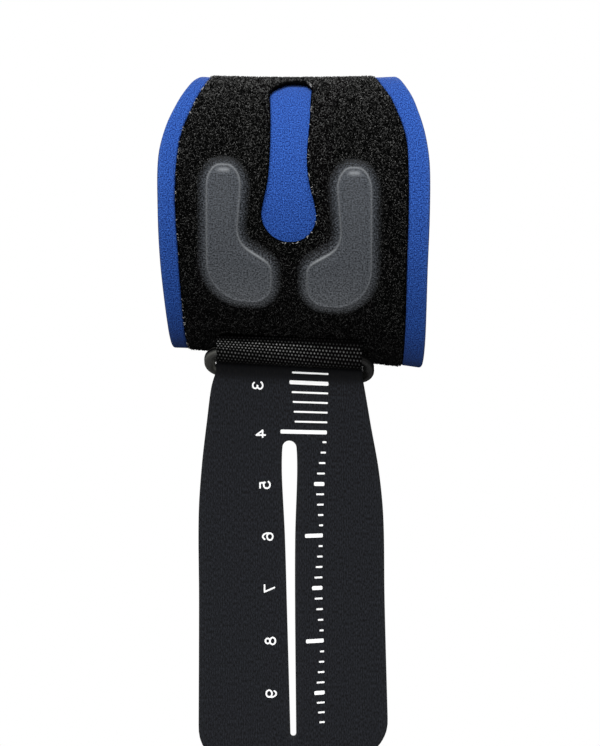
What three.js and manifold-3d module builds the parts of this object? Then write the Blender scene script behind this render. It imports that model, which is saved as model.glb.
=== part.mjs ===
// Wrist brace: a neoprene band with a looped-pile cover and two raised gel pads. A strap is sewn to
// the band's back end, runs under the wrist, comes up through a loop and hangs down in front.
// Millimetres. X runs along the forearm, +Z is up and the front faces -Y.
// The origin is the middle of the wrist hollow.
import * as THREE from 'three';
import { TessellateModifier } from 'three/addons/modifiers/TessellateModifier.js';
import { mergeVertices } from 'three/addons/utils/BufferGeometryUtils.js';
import Module from 'manifold-3d';

// Wrist hollow: an oval of four arcs that grows towards the forearm while its top line stays level
const HOLLOW_HALF_HEIGHT = 25.1;
const HOLLOW_HALF_DEPTH = 18.6;
const HOLLOW_END_RADIUS = 15.5;
const HOLLOW_GROWTH = 0.0016; // share of the oval's size gained per millimetre of X
const FLARE = 0.001; // how far the sleeve stands off towards both ends, times X squared

// Cloth and pad thicknesses
const GAP = 0.3;
const BASE_THICK = 2.6;
const COVER_THICK = 1.2;
const PAD_THICK = 1.1;
const WEBBING_THICK = 0.9;
const STRAP_THICK = 1.6;

// Beside the cover the band isn't held down: it swells over a short slope that starts just clear of the cover,
// and it thins out again towards the band's two ends
const SWELL = 1.1;
const SWELL_START = 0.15;
const SWELL_SLOPE = 0.6;
const SWELL_FADE = 3;

// Standoff of each layer's inner face from the skin
const COVER_INNER = BASE_THICK + GAP;
const COVER_OUTER = COVER_INNER + COVER_THICK;
const ON_COVER = COVER_OUTER + GAP;

// Middle line of the window, pads, loop and strap along X
const MIDDLE_X = -0.85;

// Flat outlines of the two panels. Arc is measured round the skin from the front middle, up is positive.
const BASE_OUTLINE = {
  lowerCorner: 2.2,
  upperCorner: 5,
  rows: [
    { arc: -38.5, half: 25.9, middle: 0.8 },
    { arc: -25, half: 26.25, middle: 0.6 },
    { arc: -10, half: 26.85, middle: 0.05 },
    { arc: 0, half: 27.2, middle: 0.05 },
    { arc: 9, half: 27.2, middle: 0.1 },
    { arc: 15, half: 26.2, middle: 0.3 },
    { arc: 21, half: 24.3, middle: 0.6 },
    { arc: 27, half: 22.05, middle: 0.8 },
    { arc: 33, half: 20.3, middle: 0.95 },
    { arc: 40, half: 18.9, middle: 0.35 },
    { arc: 48, half: 18.3, middle: -0.5 },
    { arc: 58, half: 18, middle: MIDDLE_X },
    { arc: 72, half: 18, middle: MIDDLE_X },
  ],
};
const COVER_OUTLINE = {
  lowerCorner: 2.5,
  upperCorner: 3.5,
  rows: [
    { arc: -35.3, half: 22.1, middle: 0.37 },
    { arc: -20, half: 22.6, middle: 0.07 },
    { arc: -8, half: 22.95, middle: -0.2 },
    { arc: 0, half: 23.3, middle: -0.32 },
    { arc: 7, half: 23.25, middle: -0.23 },
    { arc: 14, half: 22.55, middle: 0.05 },
    { arc: 21.6, half: 20.05, middle: 0.15 },
    { arc: 26.4, half: 18.1, middle: 0 },
    { arc: 30, half: 17.2, middle: -0.1 },
    { arc: 37, half: 16.2, middle: -0.5 },
    { arc: 45, half: 15.6, middle: MIDDLE_X },
    { arc: 55, half: 15.4, middle: MIDDLE_X },
    { arc: 68.5, half: 15.4, middle: MIDDLE_X },
  ],
};
// Keyhole window in the cover: a round bulb below a long neck, whose top slopes up towards the forearm
const WINDOW_OUTLINE = {
  lowerCorner: 5.2,
  upperCorner: 2.2,
  rows: [
    { arc: -5.9, half: 5.5, middle: -0.9 },
    { arc: -1, half: 5.5, middle: -0.9 },
    { arc: 2.2, half: 4.85, middle: -0.92 },
    { arc: 5.2, half: 4.12, middle: -1 },
    { arc: 9.7, half: 3.72, middle: -1 },
    { arc: 17, half: 3.92, middle: -0.65 },
    { arc: 23.6, half: 4.17, middle: -0.58 },
    { arc: 24.8, half: 4.12, middle: -0.37 },
    { arc: 26, half: 3.57, middle: 0.03 },
    { arc: 27, half: 2.75, middle: 0.3 },
    { arc: 28.1, half: 2.5, middle: 0.5 },
  ],
};

// Gel pad: a stem beside the window's neck with a foot that turns in under its bulb.
// Out is measured from the middle line, arc as above.
const PAD = {
  stemIn: 9.5,
  stemOut: 16.45,
  stemTop: 7.5,
  stemRadius: 2.8,
  heelRadius: 7.4,
  bottom: -17.15,
  toeIn: 3.45,
  toeRadius: 3.6,
  toeSide: 2.4, // straight part of the toe's inner side
  instep: { out: 5, arc: -9.05, bend: 0.9 },
  ankle: { out: 7.6, arc: -7.6, bend: 1.3, rise: 4 },
  edgeWidth: 0.8, // the sloped edge reaches this far beyond the level top
  edgeShare: 0.35, // and takes this share of the thickness, above and below
};

// Loop: moulded, with two rounded bars and broad rounded ends. Its lower bar is further back than its upper.
const BAR_RADIUS = 1;
const BAR_PITCH = 5.4;
const BAR_ROUND = 0.85;
const LOOP_WIDTH = 34.9;
const LOOP_CORNER = 3.4;
const SLOT_WIDTH = 30.3;
const SLOT_CORNER = 0.9;
const LOOP_MIDDLE = { y: -9.3, z: -31 };
const LOOP_TILT = THREE.MathUtils.degToRad(45);
const LOOP_ROLL = THREE.MathUtils.degToRad(3); // its forearm end hangs lower
const BAR_CLEARANCE = 0.2;

// Webbing tab: sewn to the cover at both ends and folded round the loop's upper bar
const WEBBING_HALF = 14.8;
const WEBBING_TOP_ARC = -24.05;
const WEBBING_TOP_SLANT = 0.06; // arc gained per millimetre of X, which keeps the edge square to the loop
const WEBBING_END_ARC = -26.4;

// Strap: sewn on the cover's back end, clear of the skin behind and over the band's lower end.
// It is drawn together at the seam and again where it goes through the loop.
const STRAP_LOOP_HALF = 14.8;
const STRAP_RUN = [
  { arc: 55, standoff: ON_COVER, half: 14.8 },
  { arc: 68.5, standoff: ON_COVER, half: 14.8 },
  { arc: 72, standoff: 3.1, half: 14.9 },
  { arc: 76, standoff: 1.6, half: 15.3 },
  { arc: 80, standoff: 0.75, half: 15.9 },
  { arc: 84, standoff: GAP, half: 16.4 },
  { arc: 90, standoff: GAP, half: 16.8 },
  { arc: 94, standoff: 0.9, half: 16.8 },
  { arc: 99.9, standoff: 3.4, half: 16.4 },
  { arc: 102.8, standoff: ON_COVER, half: 16 },
];
// The free end, by the drop below the loop's lower bar
const TAIL_LENGTH = 79.6;
const TAIL_CORNER = 8;
const TAIL_END_SKEW = 0.05; // rise per millimetre of X at the end: it was pulled a little askew
const TAIL_WIDTH = [
  { drop: 0, half: 14.85, middle: -0.8 },
  { drop: 3.3, half: 15.8, middle: -1 },
  { drop: 9.5, half: 16.73, middle: -0.9 },
  { drop: 19.3, half: 18.15, middle: -0.62 },
  { drop: 29.2, half: 18.93, middle: -0.48 },
  { drop: 46.4, half: 19.02, middle: -0.32 },
  { drop: 79.6, half: 19.5, middle: 0.05 },
];
// The slit down the free end, wide at the top and nearly closed at the bottom
const SLIT_OUTLINE = {
  lowerCorner: 1.5,
  upperCorner: 0.55,
  rows: [
    { arc: 13.6, half: 1.55, middle: -0.8 },
    { arc: 21, half: 1.54, middle: -0.79 },
    { arc: 33, half: 1.05, middle: -0.68 },
    { arc: 48, half: 0.82, middle: -0.48 },
    { arc: 74.1, half: 0.58, middle: 0 },
  ],
};

// How finely each form is divided
const PANEL_COLUMNS = 6;
const BAND_COLUMNS = 8;
const BAND_LEAST_COLUMN = 0.1; // narrowest column, where a corner draws the band's edge in
const PANEL_STEP = 2.8;
const CORNER_STEPS = 5;
const PAD_CURVE_STEPS = 4;
const PAD_LONGEST_EDGE = 3.4;
const PAD_SPLITS = 8;
const LOOP_CORNER_STEPS = 4;
const BAR_ROUND_STEPS = 2;
const WEBBING_COLUMNS = 4;
const WEBBING_BEND_STEPS = 16;
const STRAP_COLUMNS = 6;
const STRAP_RUN_STEP = 2.6;
const STRAP_BEND_STEPS = 7;
const TAIL_STEP = 3.2;
const SLIT_COLUMNS = 2;
const WELD_DISTANCE = 1e-4;
const CUT_REACH = 1; // a cutter stands this far clear of both faces

const COLOUR = {
  neoprene: 0x33589f,
  pile: 0x141414,
  gel: 0x484d52,
  webbing: 0x17181a,
  plastic: 0x1b1b1b,
  strap: 0x232529,
};

// Shape of the hollow, worked out from its four arcs
const FRONT_RADIUS =
  ((HOLLOW_HALF_HEIGHT - HOLLOW_END_RADIUS) ** 2 + HOLLOW_HALF_DEPTH ** 2 - HOLLOW_END_RADIUS ** 2) /
  (2 * (HOLLOW_HALF_DEPTH - HOLLOW_END_RADIUS));
const FRONT_OFFSET = FRONT_RADIUS - HOLLOW_HALF_DEPTH;
const END_OFFSET = HOLLOW_HALF_HEIGHT - HOLLOW_END_RADIUS;
const FRONT_TURN = Math.atan2(END_OFFSET, FRONT_OFFSET);
const FRONT_ARC = FRONT_RADIUS * FRONT_TURN;
const END_ARC = HOLLOW_END_RADIUS * (Math.PI - 2 * FRONT_TURN);
const GIRTH = 4 * FRONT_ARC + 2 * END_ARC;

const wasm = await Module();
wasm.setup();

// The oval's y, z and outward turn, which is 0 at the front and grows over the top
function ovalAt(arc) {
  const wrapped = THREE.MathUtils.euclideanModulo(arc + GIRTH / 2, GIRTH) - GIRTH / 2;
  const side = Math.sign(wrapped) || 1;
  const along = Math.abs(wrapped);
  let centre = { y: FRONT_OFFSET, z: 0 };
  let radius = FRONT_RADIUS;
  let turn = along / FRONT_RADIUS;
  if (along > FRONT_ARC + END_ARC) {
    centre = { y: -FRONT_OFFSET, z: 0 };
    turn = Math.PI - FRONT_TURN + (along - FRONT_ARC - END_ARC) / FRONT_RADIUS;
  } else if (along > FRONT_ARC) {
    centre = { y: 0, z: END_OFFSET };
    radius = HOLLOW_END_RADIUS;
    turn = FRONT_TURN + (along - FRONT_ARC) / HOLLOW_END_RADIUS;
  }
  const y = centre.y - radius * Math.cos(turn);
  const z = side * (centre.z + radius * Math.sin(turn));
  return { y, z, turn: side * turn };
}

// A point on the sleeve: arc round the skin, x along the forearm, standoff out from the skin
function onSleeve(arc, x, standoff) {
  const oval = ovalAt(arc);
  const size = 1 + HOLLOW_GROWTH * x;
  const out = standoff + FLARE * x ** 2;
  const y = size * oval.y - out * Math.cos(oval.turn);
  const z = HOLLOW_HALF_HEIGHT * (1 - size) + size * oval.z + out * Math.sin(oval.turn);
  return new THREE.Vector3(x, y, z);
}

// A smooth function through one column of a table
function smooth(rows, by, column) {
  const places = Float32Array.from(rows, (row) => row[by]);
  const values = Float32Array.from(rows, (row) => row[column]);
  const curve = new THREE.CubicInterpolant(places, values, 1, new Float32Array(1));
  return (place) => curve.evaluate(place)[0];
}

// Places from start to end, spaced by step, with more of them round the corner at each end
function stations(start, end, step, startCorner, endCorner) {
  const places = [];
  const intoCorner = (i) => 1 - Math.cos((Math.PI / 2) * (i / CORNER_STEPS));
  for (let i = 0; i < CORNER_STEPS; i++) {
    places.push(start + startCorner * intoCorner(i));
  }
  const straight = end - endCorner - (start + startCorner);
  const count = Math.ceil(straight / step);
  for (let i = 0; i <= count; i++) {
    places.push(start + startCorner + (straight * i) / count);
  }
  for (let i = CORNER_STEPS - 1; i >= 0; i--) {
    places.push(end - endCorner * intoCorner(i));
  }
  return places;
}

// How much a rounded corner takes off the half width at a distance from the end
function cornerLoss(distance, radius) {
  const into = Math.max(0, radius - distance);
  return radius - Math.sqrt(radius ** 2 - into ** 2);
}

// A closed sheet: a box whose grid of corners goes where place(across, along, through) says
function sheet(columns, rows, place) {
  const box = new THREE.BoxGeometry(1, 1, 1, columns, rows, 1);
  const position = box.getAttribute('position');
  for (let i = 0; i < position.count; i++) {
    const across = position.getX(i) + 0.5;
    const along = Math.round((position.getY(i) + 0.5) * rows);
    const through = position.getZ(i) + 0.5;
    position.setXYZ(i, ...place(across, along, through));
  }
  return welded(box);
}

// Only positions, with shared corners merged
function welded(geometry) {
  geometry.deleteAttribute('normal');
  geometry.deleteAttribute('uv');
  return mergeVertices(geometry, WELD_DISTANCE);
}

// The left and right sides of a flat outline, and of the same outline before its corners are rounded
function outlineSides(outline) {
  const { rows, lowerCorner, upperCorner } = outline;
  const start = rows[0].arc;
  const end = rows.at(-1).arc;
  const half = smooth(rows, 'arc', 'half');
  const middle = smooth(rows, 'arc', 'middle');
  const square = (arc) => {
    const inside = THREE.MathUtils.clamp(arc, start, end);
    return [middle(inside) - half(inside), middle(inside) + half(inside)];
  };
  const rounded = (arc) => {
    const loss = cornerLoss(arc - start, lowerCorner) + cornerLoss(end - arc, upperCorner);
    const [left, right] = square(arc);
    return [left + loss, right - loss];
  };
  return { start, end, square, rounded };
}

// A sheet with a flat outline: its edges follow the rows, and place(arc, x, through) puts it in space
function outlined(outline, columns, step, place) {
  const { start, end, rounded } = outlineSides(outline);
  const arcs = stations(start, end, step, outline.lowerCorner, outline.upperCorner);
  return sheet(columns, arcs.length - 1, (across, along, through) => {
    const arc = arcs[along];
    const x = THREE.MathUtils.lerp(...rounded(arc), across);
    return place(arc, x, through);
  });
}

function toSolid(geometry) {
  return new wasm.Manifold(
    new wasm.Mesh({
      numProp: 3,
      vertProperties: Float32Array.from(geometry.getAttribute('position').array),
      triVerts: Uint32Array.from(geometry.index.array),
    }),
  );
}

function cut(geometry, cutter) {
  const { vertProperties, triVerts } = toSolid(geometry).subtract(toSolid(cutter)).getMesh();
  const result = new THREE.BufferGeometry();
  result.setAttribute('position', new THREE.BufferAttribute(vertProperties, 3));
  result.setIndex(new THREE.BufferAttribute(triVerts, 1));
  return result;
}

function piece(name, geometry, color, roughness) {
  geometry.computeVertexNormals();
  const mesh = new THREE.Mesh(geometry, new THREE.MeshStandardMaterial({ color, roughness, metalness: 0 }));
  mesh.name = name;
  return mesh;
}

// A panel that lies round the wrist between two standoffs
function panel(outline, inner, outer) {
  return outlined(outline, PANEL_COLUMNS, PANEL_STEP, (arc, x, through) =>
    onSleeve(arc, x, THREE.MathUtils.lerp(inner, outer, through)),
  );
}

// Columns from a side of the band inwards: its edge, then the top and the foot of the slope beside the cover
function bandColumns(edge, coverEdge, inward) {
  const foot = coverEdge - inward * SWELL_START;
  const top = foot - inward * SWELL_SLOPE;
  const inside = (x, least) => edge + inward * Math.max(inward * (x - edge), least);
  return [edge, inside(top, BAND_LEAST_COLUMN), inside(foot, 2 * BAND_LEAST_COLUMN)];
}

// The band lies on the skin. Under the cover it has an even thickness, and its two borders are thicker.
function bandGeometry() {
  const { start, end, rounded } = outlineSides(BASE_OUTLINE);
  const { square } = outlineSides(COVER_OUTLINE);
  const arcs = stations(start, end, PANEL_STEP, BASE_OUTLINE.lowerCorner, BASE_OUTLINE.upperCorner);
  return sheet(BAND_COLUMNS, arcs.length - 1, (across, along, through) => {
    const arc = arcs[along];
    const [left, right] = rounded(arc);
    const [coverLeft, coverRight] = square(arc);
    const lefts = bandColumns(left, coverLeft, 1);
    const rights = bandColumns(right, coverRight, -1);
    const column = Math.round(across * BAND_COLUMNS);
    const fromRight = BAND_COLUMNS - column;
    const share = (column - lefts.length + 1) / (BAND_COLUMNS - 2 * (lefts.length - 1));
    const x = lefts[column] ?? rights[fromRight] ?? THREE.MathUtils.lerp(lefts.at(-1), rights.at(-1), share);
    const beside = Math.max(coverLeft - x, x - coverRight) - SWELL_START;
    const slope = THREE.MathUtils.clamp(beside / SWELL_SLOPE, 0, 1);
    const fade = THREE.MathUtils.smoothstep(Math.min(arc - start, end - arc), 0, SWELL_FADE);
    return onSleeve(arc, x, through * (BASE_THICK + SWELL * slope * fade));
  });
}

function coverGeometry() {
  const keyhole = panel(WINDOW_OUTLINE, COVER_INNER - CUT_REACH, COVER_OUTER + CUT_REACH);
  return cut(panel(COVER_OUTLINE, COVER_INNER, COVER_OUTER), keyhole);
}

// The flat outline of a pad's level top
function padOutline() {
  const shoulder = PAD.stemTop - PAD.stemRadius;
  const heel = PAD.bottom + PAD.heelRadius;
  const toe = PAD.bottom + PAD.toeRadius;
  const { instep, ankle } = PAD;
  const outline = new THREE.Shape();
  outline.moveTo(PAD.stemIn, shoulder);
  outline.absarc(PAD.stemIn + PAD.stemRadius, shoulder, PAD.stemRadius, Math.PI, Math.PI / 2, true);
  outline.absarc(PAD.stemOut - PAD.stemRadius, shoulder, PAD.stemRadius, Math.PI / 2, 0, true);
  outline.lineTo(PAD.stemOut, heel);
  outline.absarc(PAD.stemOut - PAD.heelRadius, heel, PAD.heelRadius, 0, -Math.PI / 2, true);
  outline.lineTo(PAD.toeIn + PAD.toeRadius, PAD.bottom);
  outline.absarc(PAD.toeIn + PAD.toeRadius, toe, PAD.toeRadius, -Math.PI / 2, -Math.PI, true);
  outline.lineTo(PAD.toeIn, toe + PAD.toeSide);
  outline.quadraticCurveTo(PAD.toeIn, instep.arc - instep.bend, instep.out, instep.arc);
  outline.lineTo(ankle.out, ankle.arc);
  outline.quadraticCurveTo(PAD.stemIn, ankle.arc + ankle.bend, PAD.stemIn, ankle.arc + ankle.rise);
  outline.closePath();
  return outline;
}

// A pad bent onto the cover. Side is 1 towards the forearm and -1 towards the hand.
function padGeometry(side) {
  const edgeHeight = PAD_THICK * PAD.edgeShare;
  const flat = new THREE.ExtrudeGeometry(padOutline(), {
    depth: PAD_THICK - 2 * edgeHeight,
    bevelThickness: edgeHeight,
    bevelSize: PAD.edgeWidth,
    bevelSegments: 1,
    curveSegments: PAD_CURVE_STEPS,
  });
  flat.deleteAttribute('normal');
  flat.deleteAttribute('uv');
  const bent = new TessellateModifier(PAD_LONGEST_EDGE, PAD_SPLITS).modify(flat);
  const position = bent.getAttribute('position');
  for (let i = 0; i < position.count; i++) {
    const x = MIDDLE_X + side * position.getX(i);
    const standoff = ON_COVER + edgeHeight + position.getZ(i);
    position.setXYZ(i, ...onSleeve(position.getY(i), x, standoff));
  }
  const pad = welded(bent);
  if (side < 0) {
    pad.index.array.reverse(); // a mirrored pad would be inside out
  }
  return pad;
}

// Draws a rectangle with round corners round the origin
function roundedRectangle(path, halfWidth, halfHeight, radius) {
  const x = halfWidth - radius;
  const y = halfHeight - radius;
  const quarter = Math.PI / 2;
  path.absarc(x, -y, radius, -quarter, 0, false);
  path.absarc(x, y, radius, 0, quarter, false);
  path.absarc(-x, y, radius, quarter, 2 * quarter, false);
  path.absarc(-x, -y, radius, 2 * quarter, 3 * quarter, false);
  path.closePath();
  return path;
}

// The loop in its own plane: x along the bars, y from the lower bar to the upper
function loopGeometry() {
  const outside = BAR_PITCH / 2 + BAR_RADIUS;
  const inside = BAR_PITCH / 2 - BAR_RADIUS;
  const outline = roundedRectangle(new THREE.Shape(), LOOP_WIDTH / 2, outside, LOOP_CORNER);
  outline.holes.push(roundedRectangle(new THREE.Path(), SLOT_WIDTH / 2, inside, SLOT_CORNER));
  const depth = 2 * (BAR_RADIUS - BAR_ROUND);
  const loop = new THREE.ExtrudeGeometry(outline, {
    depth,
    bevelThickness: BAR_ROUND,
    bevelSize: BAR_ROUND,
    bevelOffset: -BAR_ROUND,
    bevelSegments: BAR_ROUND_STEPS,
    curveSegments: LOOP_CORNER_STEPS,
  });
  return welded(loop.translate(0, 0, -depth / 2));
}

// Middle of a bar at x: upper is 1 for the upper bar and -1 for the lower
function barAt(x, upper) {
  const out = (upper * BAR_PITCH) / 2;
  return {
    y: LOOP_MIDDLE.y - out * Math.sin(LOOP_TILT),
    z: LOOP_MIDDLE.z + out * Math.cos(LOOP_TILT) - Math.tan(LOOP_ROLL) * (x - MIDDLE_X),
  };
}

// Where a straight run from a point touches a circle round a bar, as the angle from +Y towards +Z
function touchAngle(point, bar, radius, side) {
  const dy = point.y - bar.y;
  const dz = point.z - bar.z;
  return Math.atan2(dz, dy) + side * Math.acos(radius / Math.hypot(dy, dz));
}

// Points round a bar between two angles
function roundBar(x, bar, radius, from, to, steps) {
  return Array.from({ length: steps + 1 }, (_, i) => {
    const angle = THREE.MathUtils.lerp(from, to, i / steps);
    return new THREE.Vector3(x, bar.y + radius * Math.cos(angle), bar.z + radius * Math.sin(angle));
  });
}

// A ribbon of even thickness along lines of points. lineAt(across) gives one line from end to end.
function ribbon(columns, thick, lineAt) {
  const lines = Array.from({ length: columns + 1 }, (_, i) => lineAt(i / columns));
  return sheet(columns, lines[0].length - 1, (across, along, through) => {
    const line = lines[Math.round(across * columns)];
    const before = line[Math.max(0, along - 1)];
    const after = line[Math.min(line.length - 1, along + 1)];
    const length = Math.hypot(after.y - before.y, after.z - before.z);
    const out = thick * (through - 0.5);
    const point = line[along];
    const y = point.y - (out * (after.z - before.z)) / length;
    const z = point.z + (out * (after.y - before.y)) / length;
    return new THREE.Vector3(point.x, y, z);
  });
}

// Down the front of the upper bar, round under it and up behind it to the cover
function webbingGeometry() {
  const radius = BAR_RADIUS + BAR_CLEARANCE + WEBBING_THICK / 2;
  const standoff = ON_COVER + WEBBING_THICK / 2;
  return ribbon(WEBBING_COLUMNS, WEBBING_THICK, (across) => {
    const x = MIDDLE_X + (2 * across - 1) * WEBBING_HALF;
    const slant = WEBBING_TOP_SLANT * (x - MIDDLE_X);
    const top = onSleeve(WEBBING_TOP_ARC + slant, x, standoff);
    const end = onSleeve(WEBBING_END_ARC + slant, x, standoff);
    const bar = barAt(x, 1);
    const front = touchAngle(top, bar, radius, 1);
    const back = touchAngle(end, bar, radius, -1) + 2 * Math.PI;
    return [top, ...roundBar(x, bar, radius, front, back, WEBBING_BEND_STEPS), end];
  });
}

// From the seam at the back, under the wrist, over the loop's lower bar and down
function strapGeometry() {
  const radius = BAR_RADIUS + BAR_CLEARANCE + STRAP_THICK / 2;
  const standoff = smooth(STRAP_RUN, 'arc', 'standoff');
  const runHalf = smooth(STRAP_RUN, 'arc', 'half');
  const tailHalf = smooth(TAIL_WIDTH, 'drop', 'half');
  const tailMiddle = smooth(TAIL_WIDTH, 'drop', 'middle');
  const seam = STRAP_RUN[0].arc;
  const leave = STRAP_RUN.at(-1).arc;
  const runSteps = Math.ceil((leave - seam) / STRAP_RUN_STEP);
  const drops = stations(0, TAIL_LENGTH, TAIL_STEP, 0, TAIL_CORNER).filter((drop) => drop > 0);
  const topSkew = -Math.tan(LOOP_ROLL);
  return ribbon(STRAP_COLUMNS, STRAP_THICK, (across) => {
    const side = 2 * across - 1;
    const run = Array.from({ length: runSteps + 1 }, (_, i) => {
      const arc = THREE.MathUtils.lerp(seam, leave, i / runSteps);
      return onSleeve(arc, MIDDLE_X + side * runHalf(arc), standoff(arc) + STRAP_THICK / 2);
    });
    const x = MIDDLE_X + side * STRAP_LOOP_HALF;
    const bar = barAt(x, -1);
    const touch = touchAngle(run.at(-1), bar, radius, 1);
    const bend = roundBar(x, bar, radius, touch, Math.PI, STRAP_BEND_STEPS);
    const tail = drops.map((drop) => {
      const width = tailHalf(drop) - cornerLoss(TAIL_LENGTH - drop, TAIL_CORNER);
      const tailX = tailMiddle(drop) + side * width;
      const skew = THREE.MathUtils.lerp(topSkew, TAIL_END_SKEW, drop / TAIL_LENGTH);
      const z = barAt(MIDDLE_X, -1).z - drop + skew * (tailX - MIDDLE_X);
      return new THREE.Vector3(tailX, bar.y - radius, z);
    });
    return [...run, ...bend, ...tail];
  });
}

function slitGeometry() {
  const bar = barAt(MIDDLE_X, -1);
  const back = bar.y - BAR_RADIUS - BAR_CLEARANCE;
  const front = back - STRAP_THICK;
  return outlined(SLIT_OUTLINE, SLIT_COLUMNS, TAIL_STEP, (drop, x, through) => {
    const y = THREE.MathUtils.lerp(front - CUT_REACH, back + CUT_REACH, through);
    return new THREE.Vector3(x, y, bar.z - drop);
  });
}

const brace = new THREE.Group();
brace.add(piece('base_band', bandGeometry(), COLOUR.neoprene, 0.85));
brace.add(piece('loop_cover', coverGeometry(), COLOUR.pile, 0.95));
brace.add(piece('gel_pad_left', padGeometry(-1), COLOUR.gel, 0.45));
brace.add(piece('gel_pad_right', padGeometry(1), COLOUR.gel, 0.45));
brace.add(piece('webbing_tab', webbingGeometry(), COLOUR.webbing, 0.7));
brace.add(piece('strap', cut(strapGeometry(), slitGeometry()), COLOUR.strap, 0.8));

const loop = piece('strap_loop', loopGeometry(), COLOUR.plastic, 0.35);
loop.position.set(MIDDLE_X, LOOP_MIDDLE.y, LOOP_MIDDLE.z);
loop.rotation.set(Math.PI - LOOP_TILT, LOOP_ROLL, 0, 'YXZ');
brace.add(loop);

export default brace;
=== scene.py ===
"""Wrist brace: cloth, pile, gel pads, webbing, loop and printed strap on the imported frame."""
import math

import bpy
import numpy as np
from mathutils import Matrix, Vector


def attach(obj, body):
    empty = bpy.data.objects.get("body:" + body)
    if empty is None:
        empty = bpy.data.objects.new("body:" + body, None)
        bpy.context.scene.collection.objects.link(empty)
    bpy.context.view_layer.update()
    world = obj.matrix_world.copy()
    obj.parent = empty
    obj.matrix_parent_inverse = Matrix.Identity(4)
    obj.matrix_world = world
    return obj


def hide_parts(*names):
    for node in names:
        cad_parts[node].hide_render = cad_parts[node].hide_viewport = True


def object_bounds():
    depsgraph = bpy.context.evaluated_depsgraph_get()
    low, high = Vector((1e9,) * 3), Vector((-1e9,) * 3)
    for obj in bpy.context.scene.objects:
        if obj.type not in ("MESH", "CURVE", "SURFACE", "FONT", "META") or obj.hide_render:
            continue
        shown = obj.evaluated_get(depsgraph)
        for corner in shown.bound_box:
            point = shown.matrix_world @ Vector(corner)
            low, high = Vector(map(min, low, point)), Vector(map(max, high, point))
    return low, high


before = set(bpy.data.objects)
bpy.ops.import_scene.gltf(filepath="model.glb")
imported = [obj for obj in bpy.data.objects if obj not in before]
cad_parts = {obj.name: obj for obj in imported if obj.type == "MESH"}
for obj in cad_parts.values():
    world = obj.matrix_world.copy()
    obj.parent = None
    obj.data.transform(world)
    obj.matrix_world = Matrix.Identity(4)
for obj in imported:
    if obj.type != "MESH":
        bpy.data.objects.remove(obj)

CAD_BOX = [list(corner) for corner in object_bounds()]
MM = 0.001
random = np.random.default_rng(7)
scene = bpy.context.scene

# Sizes in millimetres. X runs along the hollow, +Z is up and the front faces -Y.
HOLLOW_HALF_HEIGHT, HOLLOW_HALF_DEPTH, HOLLOW_END_RADIUS = 25.1, 18.6, 15.5
HOLLOW_GROWTH, FLARE = 0.0016, 0.001
GAP = 0.3
BASE_THICK, COVER_THICK, WEBBING_THICK, STRAP_THICK = 2.6, 1.2, 0.9, 1.6
COVER_INNER = BASE_THICK + GAP
COVER_OUTER = COVER_INNER + COVER_THICK
ON_COVER = COVER_OUTER + GAP
MIDDLE_X = -0.85
ROW_STEP, ROW_GAP = 1.2, 0.3

# Flat outlines: arc round the hollow from the front middle, half width, middle
BASE = {"lower": 2.2, "upper": 5, "rows": [
    (-38.5, 25.9, 0.8), (-25, 26.25, 0.6), (-10, 26.85, 0.05), (0, 27.2, 0.05), (9, 27.2, 0.1),
    (15, 26.2, 0.3), (21, 24.3, 0.6), (27, 22.05, 0.8), (33, 20.3, 0.95), (40, 18.9, 0.35),
    (48, 18.3, -0.5), (58, 18, MIDDLE_X), (72, 18, MIDDLE_X)]}
COVER = {"lower": 2.5, "upper": 3.5, "rows": [
    (-35.3, 22.1, 0.37), (-20, 22.6, 0.07), (-8, 22.95, -0.2), (0, 23.3, -0.32), (7, 23.25, -0.23),
    (14, 22.55, 0.05), (21.6, 20.05, 0.15), (26.4, 18.1, 0), (30, 17.2, -0.1), (37, 16.2, -0.5),
    (45, 15.6, MIDDLE_X), (55, 15.4, MIDDLE_X), (68.5, 15.4, MIDDLE_X)]}
WINDOW = {"lower": 5.2, "upper": 2.2, "rows": [
    (-5.9, 5.5, -0.9), (-1, 5.5, -0.9), (2.2, 4.85, -0.92), (5.2, 4.12, -1), (9.7, 3.72, -1),
    (17, 3.92, -0.65), (23.6, 4.17, -0.58), (24.8, 4.12, -0.37), (26, 3.6, 0.03), (27, 2.9, 0.3),
    (28.5, 2.8, 0.5)]}
# The slit in the free end: drop below the loop's lower bar, half width, middle
SLIT = {"lower": 1.25, "upper": 0.55, "rows": [
    (13.6, 1.3, -0.8), (16.2, 1.52, -0.8), (21, 1.54, -0.79), (33, 1.05, -0.68), (48, 0.82, -0.48),
    (74.1, 0.58, 0)]}

# Soft rims: how far in the rounding goes, and the share of the thickness left at the rim
BASE_RIM, COVER_RIM, WEBBING_RIM, STRAP_RIM = (0.6, 0.6), (0.5, 0.5), (0.3, 0.4), (0.6, 0.35)

# Base: its swell beside the cover and in the window, its uneven face (height, turn per mm of arc and of x)
SWELL, SWELL_START, SWELL_SLOPE, SWELL_FADE = 1.1, -0.1, 0.3, 3
WINDOW_SWELL, WINDOW_SWELL_WIDTH = 0.25, 1.2
BASE_WAVES = [(0.04, 0.31, 0.4), (0.03, 0.83, -0.2)]
BASE_BORDER, BASE_INSET, BASE_SUNK, BASE_WEAR = 1.6, 0.8, 0.06, 0.35

# Cover: how far its ground cloth lies under the pile, and how its columns spread beyond the window
COVER_INSET, COVER_SUNK = 0.5, 0.35
WINDOW_STEP, WINDOW_SPREAD = 0.8, (0.15, 2.5)

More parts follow.
